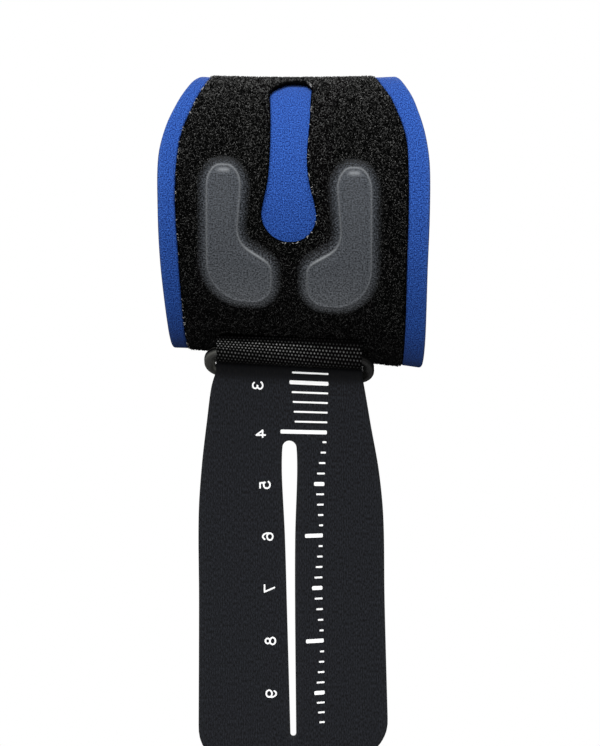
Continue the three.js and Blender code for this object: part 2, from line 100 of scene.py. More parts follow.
# Pad: distance out from the middle line, and arc
PAD_STEM_IN, PAD_STEM_OUT, PAD_STEM_TOP, PAD_CAP = 9.7, 16.45, 7.5, (2.8, 4)
PAD_HEEL_RADIUS, PAD_BOTTOM = 7.4, -17.15
PAD_TOE_IN, PAD_TOE_RADIUS, PAD_TOE_SIDE = 3.6, 3.6, 2.4
PAD_INSTEP, PAD_INSTEP_BEND = (5.3, -9.05), 0.9
PAD_ANKLE, PAD_ANKLE_BEND, PAD_ANKLE_RISE, PAD_WAIST = (8, -7.6), 1.3, 4, 10.35
# Pad's section: its skirt, the yarn beside it, its levels, its ridge and its crown
PAD_SKIRT, PAD_CLEAR, PAD_HALO = 2.1, 0.9, 1.35
PAD_STEP, PAD_FOOT, PAD_FOOT_THICK, PAD_SHOULDER, PAD_SKIRT_BEND = 0.16, 0.3, 0.1, 0.5, 1.3
PAD_RIDGE_HEIGHT, PAD_RIDGE_WIDTH = 0.1, 0.2
PAD_CROWN, PAD_CROWN_TOP, PAD_CROWN_START, PAD_CROWN_SLOPE = 0.16, 0.24, 0.4, 1.1
PAD_TOP_REACH, PAD_TOP_BLEND = 5, 4
# Pad's look: paler towards the bottom by arc, a painted highlight in a crescent at the top, painted light and
# shade on the skirt by which way it faces, and painted highlights on the ridge where it faces up and at the
# instep
PAD_PALER_BY_ARC = [(-18.5, 1), (-17, 0.63), (-14, 0.31), (-10, 0.13), (-3, 0.02), (2, 0)]
PAD_CRESCENT, PAD_CRESCENT_WIDTH, PAD_CRESCENT_HIGHLIGHT = 1.0, 0.45, 0.48
PAD_CRESCENT_REACH, PAD_CRESCENT_BLEND, PAD_CRESCENT_POWER = 4, 2, 6
PAD_SKIRT_PAINTED_LIGHT, PAD_SKIRT_PAINTED_LIGHT_MOST = (0.86, 0.4), 0.98
PAD_SHINE_ARC, PAD_SHINE_WIDTH, PAD_RIDGE_HIGHLIGHT_LEAST, PAD_RIDGE_HIGHLIGHT_SIDE = -8.3, 1.4, 0.55, 0.55

# Pile: pitch of its loops in each stretch of arc, their painted shade by arc (darker low down, lighter on
# top), painted shade beside a cut edge, and the pale loops along a cut edge, kept on edges facing the light:
# pale fibres with a painted highlight
PILE_STRETCHES = [("lower", -35.3, -10, 0.31), ("front", -10, 12, 0.31), ("top", 12, 32, 0.31),
                  ("back", 32, 68.5, 0.42)]
PILE_PAINTED_SHADE_BY_ARC = [(-33, 0.2), (-26, 0.32), (-14, 0.6), (-2, 0.8), (8, 1), (20, 1.15)]
PILE_TONE_POWER, PILE_RIM_SHADE, PILE_HALO_TONE = 1.9, 0.4, 0.85
PILE_CUT_EDGE, PILE_CUT_SHARE, PILE_CUT_THICK, PILE_CUT_TONE = 0.3, 0.5, 1.4, 2.6
PILE_CUT_INWARD_FROM_LIT_EDGE, PILE_CUT_GAIN = (0.085, -0.05), 0.03
# Pile: each loop's length, height, radius, curl and bluntness, where it stands, and how far it goes on
# under the strap and the webbing
PILE_LENGTH, PILE_HEIGHT, PILE_RADIUS, PILE_CURL = (0.3, 0.55), (0.18, 0.42), (0.05, 0.08), 1.6
PILE_HALF_WIDTH, PILE_JITTER, PILE_SUNK, PILE_MARGIN, PILE_SHORTEST = 25, 0.55, 0.45, 0.15, 0.35
PILE_BLUNT, PILE_UNDER, PILE_UNDER_SIDE = 0.7, 1, 0.8

# Loop
BAR_RADIUS, BAR_PITCH, BAR_ROUND = 1, 5.4, 0.85
LOOP_WIDTH, LOOP_CORNER = 34.9, 3.4
SLOT_WIDTH, SLOT_CORNER = 30.3, 0.9
LOOP_Y, LOOP_Z = -9.3, -31
LOOP_TILT, LOOP_ROLL = math.radians(45), math.radians(3)
# The loop's paler rims and how they grow towards the left end: wear, with a painted highlight from the left
LOOP_WEAR_AND_HIGHLIGHT_DEPTH, LOOP_WEAR_AND_HIGHLIGHT_WIDTH, LOOP_HIGHLIGHT_SLANT = 0.7, 0.25, 0.8
BAR_CLEARANCE = 0.2

# Webbing, its threads, and the painted shade on them by distance from the top edge and by x
WEBBING_HALF, WEBBING_COLUMNS, WEBBING_SUNK = 14.8, 283, 0.1
WEBBING_TOP_ARC, WEBBING_TOP_SLANT, WEBBING_END_ARC = -24.05, 0.06, -26.4
WEAVE_COLUMN, WEAVE_ROW, WEAVE_HEIGHT, WEAVE_THREAD = 0.7, 0.65, 0.28, (0.45, 0.47)
WEBBING_PAINTED_SHADE = [(0, 0.3), (0.9, 0.55), (1.7, 1), (2.6, 0.97), (4.6, 0.74), (6.2, 0.55), (8, 0.35)]
WEBBING_PAINTED_SHADE_SIDE = [(-15.7, 1), (0, 1), (13.9, 0.78)]

# Strap: arc, standoff of its inner face and half width, then the free end's drop, half width and middle
STRAP_RUN = [(55, ON_COVER, 14.8), (68.5, ON_COVER, 14.8), (72, 3.1, 14.9), (76, 1.6, 15.3), (80, 0.75, 15.9),
             (84, GAP, 16.4), (90, GAP, 16.8), (94, 0.9, 16.8), (99.9, 3.4, 16.4), (102.8, ON_COVER, 16)]
STRAP_RUN_STEP, STRAP_LOOP_HALF, STRAP_INSET = 0.95, 15, 0.6
# The strap's paler rim, how far a painted shadow reaches down the free end below the loop, and how the slit's
# edges spread
STRAP_WEAR, STRAP_SHADOW_DROP, SLIT_SPREAD = 0.25, 1.3, (0.12, 1.5)
TAIL_START, TAIL_LENGTH, TAIL_CORNER, TAIL_END_SKEW = 0.6, 79.6, 8, 0.05
TAIL_WIDTH = [(0, 15, -0.8), (3.3, 15.8, -1), (9.5, 16.73, -0.9), (19.3, 18.15, -0.62), (29.2, 18.93, -0.48),
              (46.4, 19.02, -0.32), (79.6, 19.5, 0.05)]

# Seam at the back: how it draws the strap in, and its stitches
SEAM_ARCS, SEAM_DIP, SEAM_WIDTH = (57, 66.8), 0.25, 0.6
SEAM_PRESS, SEAM_PRESS_LENGTH = 0.3, 3
STITCH_PITCH, STITCH_LENGTH, STITCH_RADIUS, STITCH_SPAN = 2.6, 2.0, 0.2, 13.2
STITCH_RISE, STITCH_BEND, STITCH_END, STITCH_TONE = 0.1, 0.16, 0.04, 0.8

# Printed scale: number, drop of its tick, right end of the ticks, tilt in degrees, digit's place (x, drop)
SCALE = [
    (3, 1.78, 7.17, -2.6, -7.30, 2.29),
    (4, 11.80, 6.86, -1.2, -6.66, 12.15),
    (5, 22.44, 6.35, 0.0, -5.80, 22.65),
    (6, 33.02, 6.03, 2.0, -5.23, 33.20),
    (7, 43.72, 5.94, 2.7, -4.88, 43.82),
    (8, 54.56, 6.23, 3.3, -4.70, 54.56),
    (9, 65.16, 6.41, 4.0, -4.53, 65.34),
]
TICKS_PER_NUMBER, TICKS_BEFORE, TICKS_AFTER = 5, 1, 3
TICK_WIDTH, TICK_WIDTH_NUMBER, TICK_CORNER = 0.37, 0.81, 0.3
TICK_ODD, TICK_EVEN, TICK_MINOR, TICK_MINOR_STEP = 2.12, 3.65, 1.85, 0.26
TICK_EXTRA_ABOVE_SLIT = 5.85
DIGIT_HEIGHT, DIGIT_WIDTH, DIGIT_STROKE = 2.03, 1.39, 0.33
PRINT_RISE, PRINT_LEVEL_STEP = 0.02, 0.003

# Studio: a camera at the photograph's viewing angle, a small pale floor, white surroundings and soft lights.
# The lights' places and sizes are in metres.
IMAGE_HEIGHT, SENSOR_HEIGHT, VIEW_PER_PIXEL = 746, 36, 0.00041779
CAMERA_X, CAMERA_Y, CAMERA_Z = 1.358, -500, -32.64
FLOOR_GAP, FLOOR_RADIUS, FLOOR_Y = 12, 200, -105
FLOOR_FADE = (0.45, 0.98)
AMBIENT_BELOW, AMBIENT_ABOVE, AMBIENT_LOW, AMBIENT_HIGH = 0.06, 0.36, -0.4, 0.8
LIGHTS = [("overhead", (-0.02, -0.3, 0.75), 0.6, 8.0), ("front", (-0.1, -1.0, 0.1), 0.5, 7.8),
          ("back", (0.1, 0.95, 0.25), 0.6, 7.2)]

# Shape of the hollow, worked out from its four arcs
END_OFFSET = HOLLOW_HALF_HEIGHT - HOLLOW_END_RADIUS
FRONT_RADIUS = (END_OFFSET ** 2 + HOLLOW_HALF_DEPTH ** 2 - HOLLOW_END_RADIUS ** 2) / (
    2 * (HOLLOW_HALF_DEPTH - HOLLOW_END_RADIUS))
FRONT_OFFSET = FRONT_RADIUS - HOLLOW_HALF_DEPTH
FRONT_TURN = math.atan2(END_OFFSET, FRONT_OFFSET)
FRONT_ARC = FRONT_RADIUS * FRONT_TURN
END_ARC = HOLLOW_END_RADIUS * (math.pi - 2 * FRONT_TURN)
GIRTH = 4 * FRONT_ARC + 2 * END_ARC


def oval_at(arc):
    """The hollow's y, z and outward turn, which is 0 at the front and grows over the top."""
    wrapped = (arc + GIRTH / 2) % GIRTH - GIRTH / 2
    side = np.where(wrapped < 0, -1.0, 1.0)
    along = np.abs(wrapped)
    on_back = along > FRONT_ARC + END_ARC
    on_end = (along > FRONT_ARC) & ~on_back
    turn = np.select(
        [on_back, on_end],
        [math.pi - FRONT_TURN + (along - FRONT_ARC - END_ARC) / FRONT_RADIUS,
         FRONT_TURN + (along - FRONT_ARC) / HOLLOW_END_RADIUS],
        along / FRONT_RADIUS)
    radius = np.where(on_end, HOLLOW_END_RADIUS, FRONT_RADIUS)
    centre_y = np.select([on_back, on_end], [-FRONT_OFFSET, 0.0], FRONT_OFFSET)
    centre_z = np.where(on_end, END_OFFSET, 0.0)
    return centre_y - radius * np.cos(turn), side * (centre_z + radius * np.sin(turn)), side * turn


def on_sleeve(arc, x, standoff):
    """Points at an arc round the hollow, an x along it and a standoff from it."""
    arc, x, standoff = np.broadcast_arrays(*(np.asarray(v, float) for v in (arc, x, standoff)))
    y, z, turn = oval_at(arc)
    size = 1 + HOLLOW_GROWTH * x
    out = standoff + FLARE * x ** 2
    return np.stack([x, size * y - out * np.cos(turn),
                     HOLLOW_HALF_HEIGHT * (1 - size) + size * z + out * np.sin(turn)], -1)


def smooth(rows, column):
    """A smooth function of a table's first column through another column."""
    places = np.array([row[0] for row in rows], float)
    values = np.array([row[column] for row in rows], float)
    secants = np.diff(values) / np.diff(places)
    inner_slopes = (values[2:] - values[:-2]) / (places[2:] - places[:-2])
    slopes = np.concatenate([secants[:1], inner_slopes, secants[-1:]])

    def curve(place):
        place = np.clip(place, places[0], places[-1])
        i = np.clip(np.searchsorted(places, place) - 1, 0, len(places) - 2)
        gap = places[i + 1] - places[i]
        t = (place - places[i]) / gap
        return (values[i] * (1 + 2 * t) * (1 - t) ** 2 + values[i + 1] * (3 - 2 * t) * t ** 2
                + gap * (slopes[i] * t * (1 - t) ** 2 - slopes[i + 1] * t ** 2 * (1 - t)))
    return curve


def ease(share):
    """A smooth step from 0 to 1."""
    share = np.clip(share, 0, 1)
    return share * share * (3 - 2 * share)


def bell(distance, width):
    """1 at no distance, falling off on both sides."""
    return np.exp(-(distance / width) ** 2)


def rounded(distance, radius, least):
    """Share of its thickness that a soft edge has at a distance from its rim."""
    into = 1 - np.clip(distance / radius, 0, 1)
    return least + (1 - least) * np.sqrt(1 - into ** 2)


def corner_loss(distance, radius):
    """How far a rounded corner draws an edge in."""
    into = np.clip(radius - distance, 0, radius)
    return radius - np.sqrt(radius ** 2 - into ** 2)


def arc_line(centre, radius, start, end, steps=20):
    """Points along an arc between two angles in degrees. An oval arc has two radii."""
    angles = np.radians(np.linspace(start, end, steps))
    return np.array(centre) + np.array(radius) * np.stack([np.cos(angles), np.sin(angles)], 1)


def rounded_box(half_width, half_height, radius, steps):
    corners = [(1, -1, -90), (1, 1, 0), (-1, 1, 90), (-1, -1, 180)]
    x, y = half_width - radius, half_height - radius
    return np.concatenate([arc_line((side * x, level * y), radius, start, start + 90, steps)
                           for side, level, start in corners])


def edges_at(outline, arc):
    """Left and right edge of a flat outline, drawn in round its corners."""
    rows = outline["rows"]
    half = smooth(rows, 1)(arc) - corner_loss(arc - rows[0][0], outline["lower"])
    half = half - corner_loss(rows[-1][0] - arc, outline["upper"])
    middle = smooth(rows, 2)(arc)
    return middle - half, middle + half


def hole_edges(hole, arcs, spread, most):
    """Left and right edge of a hole, drawn apart beyond its ends."""
    low, high = hole["rows"][0][0], hole["rows"][-1][0]
    left, right = edges_at(hole, np.clip(arcs, low, high))
    beyond = np.maximum(low - arcs, 0) + np.maximum(arcs - high, 0)
    apart = np.minimum(spread * beyond, most)
    return left - apart, right + apart


def outline_stations(outline, step):
    """Arcs from end to end of an outline, closer together round its corners."""
    start, end = outline["rows"][0][0], outline["rows"][-1][0]
    lower, upper = outline["lower"], outline["upper"]
    into = 1 - np.cos(np.linspace(0, math.pi / 2, 9))
    straight = np.arange(start + lower, end - upper, step)
    return np.unique(np.concatenate([start + lower * into, straight, end - upper * into]))


def polygon(outline):
    """The closed line round a flat outline."""
    arcs = outline_stations(outline, 1.0)
    left, right = edges_at(outline, arcs)
    return np.concatenate([np.stack([right, arcs], 1), np.stack([left, arcs], 1)[::-1]])


def flat_area(outline):
    """Area inside an outline, in square metres."""
    x, arc = polygon(outline).T
    return float(abs(np.sum(x * np.roll(arc, -1) - arc * np.roll(x, -1)))) / 2 * MM ** 2


def flat_size(outline):
    """Width and length of an outline, in metres."""
    return tuple(float(span) * MM for span in np.ptp(polygon(outline), axis=0))


def edge_distance(points, outline):
    """Distance from flat points to a closed outline, positive inside it."""
    flat = points.reshape(-1, 2)
    nearest = np.full(len(flat), np.inf)
    inside = np.zeros(len(flat), bool)
    for start, end in zip(outline, np.roll(outline, -1, 0)):
        step = end - start
        length = step @ step
        if length == 0:
            continue
        to = flat - start
        share = np.clip(to @ step / length, 0, 1)
        nearest = np.minimum(nearest, np.hypot(*(to - share[:, None] * step).T))
        if step[1]:
            crosses = (start[1] > flat[:, 1]) != (end[1] > flat[:, 1])
            inside ^= crosses & (flat[:, 0] < start[0] + to[:, 1] * step[0] / step[1])
    return np.where(inside, nearest, -nearest).reshape(points.shape[:-1])


def flat_points(x, arc):
    return np.stack(np.broadcast_arrays(x, arc), -1)


def both(values):
    """The same values for a sheet's outer and inner face."""
    return np.stack([values, values])


def columns_between(left, right, count, inset):
    """Columns from a left edge to a right edge, closer together at both."""
    near = inset * np.array([0, 0.1, 0.3, 0.6, 1])
    inner = np.linspace(0, 1, count + 1)[1:-1]
    inset_of = np.concatenate([near, np.full(len(inner), inset), near[::-1]])
    share = np.concatenate([np.zeros(len(near)), inner, np.ones(len(near))])
    return (left[:, None] + inset_of) * (1 - share) + (right[:, None] - inset_of) * share


def columns_in_three(edges, side_count, inset, middle_count):
    """Columns between four edges, and the number of the column where the middle strip starts."""
    left, middle_left, middle_right, right = edges
    beside = columns_between(left, middle_left, side_count, inset)
    shares = np.linspace(0, 1, middle_count + 1)[1:-1]
    middle = middle_left[:, None] * (1 - shares) + middle_right[:, None] * shares
    x = np.concatenate([beside, middle, columns_between(middle_right, right, side_count, inset)], 1)
    return x, beside.shape[1] - 1


def grid_cells(points, hole=None):
    """Which cells of a grid of points are kept: all but a hole, given as slices of rows and columns."""
    keep = np.ones((points.shape[0] - 1, points.shape[1] - 1), bool)
    if hole:
        keep[hole] = False
    return keep


def sheet_faces(keep):
    """Quads of a closed sheet: the kept cells of an outer grid and an inner grid, and walls round them."""
    rows, columns = keep.shape[0] + 1, keep.shape[1] + 1
    corner = np.arange(rows * columns).reshape(rows, columns)
    under = rows * columns
    quads = np.stack([corner[:-1, :-1], corner[:-1, 1:], corner[1:, 1:], corner[1:, :-1]], -1)[keep]
    faces = [quads, quads[:, ::-1] + under]
    padded = np.pad(keep, 1)
    for turn in range(4):
        cells, grid = np.rot90(padded, turn), np.rot90(corner, turn)
        edge = cells[1:-1, 1:-1] & ~cells[:-2, 1:-1]
        start, end = grid[:-1, 1:][edge], grid[:-1, :-1][edge]
        faces.append(np.stack([start, end, end + under, start + under], -1))
    return np.concatenate(faces)


def tube_faces(count, rings, sides):
    """Quads of open tubes, each with so many rings and sides."""
    index = np.arange(count * rings * sides).reshape(count, rings, sides)
    turned = np.roll(index, -1, 2)
    return np.stack([index[:, :-1], index[:, 1:], turned[:, 1:], turned[:, :-1]], -1).reshape(-1, 4)


def add_object(name, data):
    made = bpy.data.objects.new(name, data)
    scene.collection.objects.link(made)
    return made


def make_piece(name, points, faces, material, slot, flat=None, **attributes):
    """A mesh that rides on the frame. flat is each point's place on the flat cloth, in millimetres."""
    mesh = bpy.data.meshes.new(name)
    mesh.from_pydata((points.reshape(-1, 3) * MM).tolist(), [], [list(face) for face in faces])
    mesh.polygons.foreach_set("use_smooth", np.ones(len(mesh.polygons), bool))
    if flat is not None:
        corners = np.empty(len(mesh.loops), int)
        mesh.loops.foreach_get("vertex_index", corners)
        layer = mesh.uv_layers.new(name="flat")
        layer.data.foreach_set("uv", flat.reshape(-1, 2)[corners].ravel().astype(np.float32))
    for key, values in attributes.items():
        layer = mesh.attributes.new(key, "FLOAT", "POINT")
        layer.data.foreach_set("value", np.asarray(values, np.float32).ravel())
    mesh.materials.append(material)
    piece = add_object(name, mesh)
    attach(piece, "root")
    return piece


# Materials
SHADER = "Principled BSDF"
WAVES_PER_UNIT = 3.1831
SPECKLE_RANGE = (0.34, 0.66)


def add_node(tree, kind, inputs=None, **settings):
    """A node with its settings, and its inputs set or linked by name or number.

    The functions below that are given a socket find its tree as the socket's id_data.
    """
    made = tree.nodes.new("ShaderNode" + kind)
    for key, value in settings.items():
        setattr(made, key, value)
    for key, value in (inputs or {}).items():
        if isinstance(value, bpy.types.NodeSocket):
            tree.links.new(value, made.inputs[key])
        else:
            made.inputs[key].default_value = value
    return made


def start_material(name, specular, **sockets):
    """A material and its nodes, with constants set on the shader's own sockets."""
    material = bpy.data.materials.new(name)
    material.use_nodes = True
    for key, value in {"Specular_IOR_Level": specular, **sockets}.items():
        material.node_tree.nodes[SHADER].inputs[key.replace("_", " ")].default_value = value
    return material, material.node_tree


def finish_material(material, *sockets):
    """A material with its colour, roughness and relief linked to its shader."""
    tree = material.node_tree
    for key, socket in zip(("Base Color", "Roughness", "Normal"), sockets):
        tree.links.new(socket, tree.nodes[SHADER].inputs[key])
    return material


def noise(where, scale, detail, roughness=0.5):
    inputs = {"Vector": where, "Scale": scale, "Detail": detail, "Roughness": roughness}
    return add_node(where.id_data, "TexNoise", inputs).outputs["Fac"]


def between(value, first, last, low=0, high=1):
    """A number that goes from first to last while a value goes from low to high."""
    inputs = {"Value": value, "From Min": low, "From Max": high, "To Min": first, "To Max": last}
    return add_node(value.id_data, "MapRange", inputs).outputs[0]


def stretched(where, factors):
    return add_node(where.id_data, "VectorMath", {0: where, 1: factors}, operation="MULTIPLY").outputs[0]


def speckle(where, across, along):
    """Grain that runs from 0 to 1, with so many specks to the millimetre across and along."""
    fine = noise(stretched(where, (across, along, across)), 1, 1)
    return between(fine, 0, 1, *SPECKLE_RANGE)


def waves(where, per_mm, direction, distortion):
    """Parallel ridges on the flat cloth, so many to the millimetre."""
    inputs = {"Vector": where, "Scale": per_mm / WAVES_PER_UNIT, "Distortion": distortion, "Detail": 1}
    return add_node(where.id_data, "TexWave", inputs, bands_direction=direction).outputs["Fac"]


def math_node(operation, a, b):
    return add_node(a.id_data, "Math", {0: a, 1: b}, operation=operation).outputs[0]


def layered(tone, *layers):
    """A colour with layers over it. Each has a share, limits between which it runs if any, and a colour."""
    tone = colour(*tone)
    for share, *limits, over in layers:
        if limits:
            share = between(share, *limits)
        inputs = {0: share, 6: tone, 7: colour(*over)}
        tone = add_node(share.id_data, "Mix", inputs, data_type="RGBA").outputs[2]
    return tone


def relief(height, millimetres, strength):
    inputs = {"Height": height, "Distance": millimetres * MM, "Strength": strength}
    return add_node(height.id_data, "Bump", inputs).outputs[0]


def flat_place(tree):
    return add_node(tree, "UVMap", uv_map="flat").outputs[0]


def space_place(tree):
    """The place on the part in millimetres."""
    return stretched(add_node(tree, "TexCoord").outputs["Object"], (1 / MM, 1 / MM, 1 / MM))


def attribute(tree, name):
    return add_node(tree, "Attribute", attribute_name=name).outputs["Fac"]


def colour(red, green, blue):
    """A linear colour from its sRGB bytes."""
    def linear(byte):
        share = byte / 255
        return share / 12.92 if share <= 0.04045 else ((share + 0.055) / 1.055) ** 2.4
    return (linear(red), linear(green), linear(blue), 1)


def neoprene_material():
    material, tree = start_material("neoprene jersey", 0.06, Sheen_Weight=0.03)
    flat = flat_place(tree)
    knit = math_node("MULTIPLY", waves(flat, 2.4, "X", 2.5), waves(flat, 3.1, "Y", 2.5))
    grain = speckle(flat, 4.4, 3.6)
    cloud = noise(flat, 0.09, 3)
    tone = layered(
        (5, 32, 93),
        (cloud, 0.15, 0.85, (10, 39, 105)),
        (grain, (54, 98, 184)),
        (knit, 0.15, 0, (8, 23, 75)),
        (attribute(tree, "wear"), 0, 0.35, (78, 108, 170)))
    return finish_material(material, tone, between(grain, 0.7, 0.95),
                           relief(math_node("ADD", knit, grain), 0.09, 0.6))


def pile_material():
    material, tree = start_material("looped pile", 0.02)
    where = space_place(tree)
    grain = speckle(where, 3, 3)
    cloud = noise(where, 0.12, 2)
    # The loops' tone attribute carries painted shade by arc and beside cut edges, besides their random tone
    strand = math_node("MULTIPLY", attribute(tree, "tone"), between(grain, 0.026, 0.37))
    lit = math_node("MULTIPLY", attribute(tree, "halo"), between(grain, 0.3, 1))
    tone = layered(
        (1, 1, 1),
        (strand, (192, 192, 190)),
        (cloud, 0, 0.3, (3, 3, 3)),
        (lit, (82, 85, 88)))
    return finish_material(material, tone, between(grain, 0.65, 0.95), relief(grain, 0.06, 0.6))


def gel_material():
    material, tree = start_material("gel", 0.08)
    flat = flat_place(tree)
    weave = math_node("MULTIPLY", waves(flat, 2.1, "X", 5), waves(flat, 2.6, "Y", 5))
    grain = speckle(flat, 3, 3.6)
    cloud = noise(flat, 0.2, 3)
    worn = math_node("MULTIPLY", attribute(tree, "worn"), between(grain, 0.1, 0.9))
    skirt = attribute(tree, "skirt")
    ragged = math_node("ADD", skirt, between(grain, 0.3, -0.3))
    fade = math_node("MULTIPLY", ragged, math_node("GREATER_THAN", skirt, 0.01))
    tone = layered(
        (26, 28, 31),
        (cloud, (36, 38, 41)),
        (weave, 0, 0.3, (78, 82, 86)),
        (grain, 0, 0.9, (80, 84, 90)),
        # Paler towards the bottom of the pad
        (worn, (132, 135, 139)),
        # The skirt darkens into the pile, with painted light and shade by which way its edge faces
        (fade, 0, 1, (5, 5, 5)),
        # Paler ridge: partly a paler bead of gel, partly painted highlight where it faces up
        (attribute(tree, "ridge"), 0, 0.76, (146, 149, 152)))
    return finish_material(material, tone, between(grain, 0.45, 0.7),
                           relief(math_node("ADD", weave, grain), 0.03, 0.5))


def webbing_material():
    material, tree = start_material("woven nylon", 0.01)
    where = space_place(tree)
    strands = noise(where, 9, 2)
    cloud = noise(where, 0.25, 2)
    # Raised threads are pale; their attribute also carries painted shade along and across the tape
    raised = math_node("POWER", attribute(tree, "raised"), 3.4)
    thread = math_node("MULTIPLY", raised, between(speckle(where, 1.6, 1.6), 0.45, 1.3))
    tone = layered(
        (1, 1, 1),
        (thread, (168, 168, 167)),
        (cloud, 0, 0.4, (3, 3, 3)))
    return finish_material(material, tone, between(strands, 0.36, 0.62), relief(strands, 0.03, 0.6))


def plastic_material():
    material, tree = start_material("moulded plastic", 0.13)
    where = space_place(tree)
    grain = noise(where, 5, 3)
    scuffs = noise(where, 0.7, 4, 0.7)
    tone = layered(
        (6, 6, 6),
        (scuffs, (14, 14, 13)),
        # Paler rims: wear, with a painted highlight on the left end
        (attribute(tree, "wear"), 0, 0.8, (98, 98, 94)))
    return finish_material(material, tone, between(scuffs, 0.16, 0.34), relief(grain, 0.02, 0.5))


def strap_material():
    material, tree = start_material("strap knit", 0.08, Sheen_Weight=0.02)
    flat = flat_place(tree)
    courses = between(waves(flat, 3, "Y", 1.5), 0.6, 1)
    knit = math_node("MULTIPLY", waves(flat, 2.1, "X", 0.8), courses)
    grain = speckle(flat, 4.6, 1.6)
    cloud = noise(flat, 0.08, 3)
    tone = layered(
        (1, 1, 3),
        (cloud, 0.1, 0.9, (4, 5, 7)),
        (grain, (40, 42, 47)),
        (knit, 0.35, 0, (4, 4, 6)),
        (attribute(tree, "wear"), 0, 0.3, (62, 63, 64)),
        # Painted shadow below the loop
        (attribute(tree, "soil"), 0, 0.85, (2, 2, 3)))
    return finish_material(material, tone, between(grain, 0.62, 0.92),
                           relief(math_node("ADD", knit, grain), 0.03, 0.5))


def print_material():
    material, tree = start_material("white print", 0.3)
    where = space_place(tree)
    wales = waves(where, 2.1, "X", 1)
    grain = noise(where, 4, 3, 0.7)
    tone = layered(
        (250, 250, 250),
        (grain, (255, 255, 255)),
        (math_node("MULTIPLY", wales, grain), 0.08, 0, (200, 200, 202)))
    return finish_material(material, tone, between(grain, 0.5, 0.75), relief(wales, 0.03, 0.4))


def floor_material():
    """A pale floor that fades out towards its rim."""
    material, tree = start_material("pale floor", 0.1, Roughness=0.9)
    where = space_place(tree)
    tone = layered((240, 240, 239), (noise(where, 0.01, 3), (246, 246, 246)))
    from_middle = add_node(tree, "VectorMath", {0: where}, operation="LENGTH").outputs["Value"]
    fade = between(from_middle, 1, 0, *(share * FLOOR_RADIUS for share in FLOOR_FADE))
    tree.links.new(fade, tree.nodes[SHADER].inputs["Alpha"])
    return finish_material(material, tone)


# Pieces. An inner face with its flat place moved on by the thickness lets the grain run across cut edges.

def base_piece():
    """The blue band: jersey on foam, with soft rims."""
    arcs = outline_stations(BASE, ROW_STEP)
    left, right = edges_at(BASE, arcs)
    cover_half, cover_middle = (smooth(COVER["rows"], column)(arcs) for column in (1, 2))
    cover_left, cover_right = cover_middle - cover_half, cover_middle + cover_half
    foot_left = np.maximum(cover_left - SWELL_START, left + BASE_BORDER)
    foot_right = np.minimum(cover_right + SWELL_START, right - BASE_BORDER)
    x, _ = columns_in_three((left, foot_left, foot_right, right), 6, BASE_INSET, 32)
    row = arcs[:, None]
    flat = flat_points(x, row)
    rim = edge_distance(flat, polygon(BASE))
    beside = np.maximum(cover_left[:, None] - x, x - cover_right[:, None]) - SWELL_START
    ends = np.minimum(row - arcs[0], arcs[-1] - row)
    window = np.clip(edge_distance(flat, polygon(WINDOW)) / WINDOW_SWELL_WIDTH, 0, 1)
    thick = BASE_THICK + SWELL * ease(beside / SWELL_SLOPE) * ease(ends / SWELL_FADE)
    thick = thick + WINDOW_SWELL * np.sqrt(window * (2 - window))
    uneven = sum(height * np.sin(per_arc * row + per_x * x) for height, per_arc, per_x in BASE_WAVES)
    half = thick / 2 * rounded(rim, *BASE_RIM)
    points = on_sleeve(row, x, [thick / 2 + half + uneven - BASE_SUNK, thick / 2 - half])
    wear = np.exp(-np.clip(rim, 0, None) / BASE_WEAR)
    piece = make_piece("base_cloth", points, sheet_faces(grid_cells(x)), neoprene_material(), "neoprene",
                       np.stack([flat, flat + BASE_THICK]), wear=both(wear))
    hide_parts("base_band")
    return piece


def cover_rim(points):
    """Distance from flat points to the nearest edge of the cover, at its outside or its window."""
    return np.minimum(edge_distance(points, polygon(COVER)), -edge_distance(points, polygon(WINDOW)))


def cover_piece(material):
    """The ground cloth of the pile, with the keyhole window."""
    window_arcs = outline_stations(WINDOW, WINDOW_STEP)
    low, high = window_arcs[0], window_arcs[-1]
    arcs = outline_stations(COVER, ROW_STEP)
    arcs = np.concatenate([arcs[arcs < low - ROW_GAP], window_arcs, arcs[arcs > high + ROW_GAP]])
    left, right = edges_at(COVER, arcs)
    across_window = 6
    edges = (left, *hole_edges(WINDOW, arcs, *WINDOW_SPREAD), right)
    x, first = columns_in_three(edges, 14, COVER_INSET, across_window)
    hole = (slice(*np.searchsorted(arcs, (low, high))), slice(first, first + across_window))
    row = arcs[:, None]
    flat = flat_points(x, row)
    half = COVER_THICK / 2 * rounded(cover_rim(flat), *COVER_RIM)
    middle = (COVER_INNER + COVER_OUTER) / 2
    points = on_sleeve(row, x, [middle + half - COVER_SUNK, middle - half])
    none = np.zeros((2, *x.shape))
    piece = make_piece("cover_cloth", points, sheet_faces(grid_cells(x, hole)), material, "pile", both(flat),
                       tone=none, halo=none)
    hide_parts("loop_cover")
    return piece


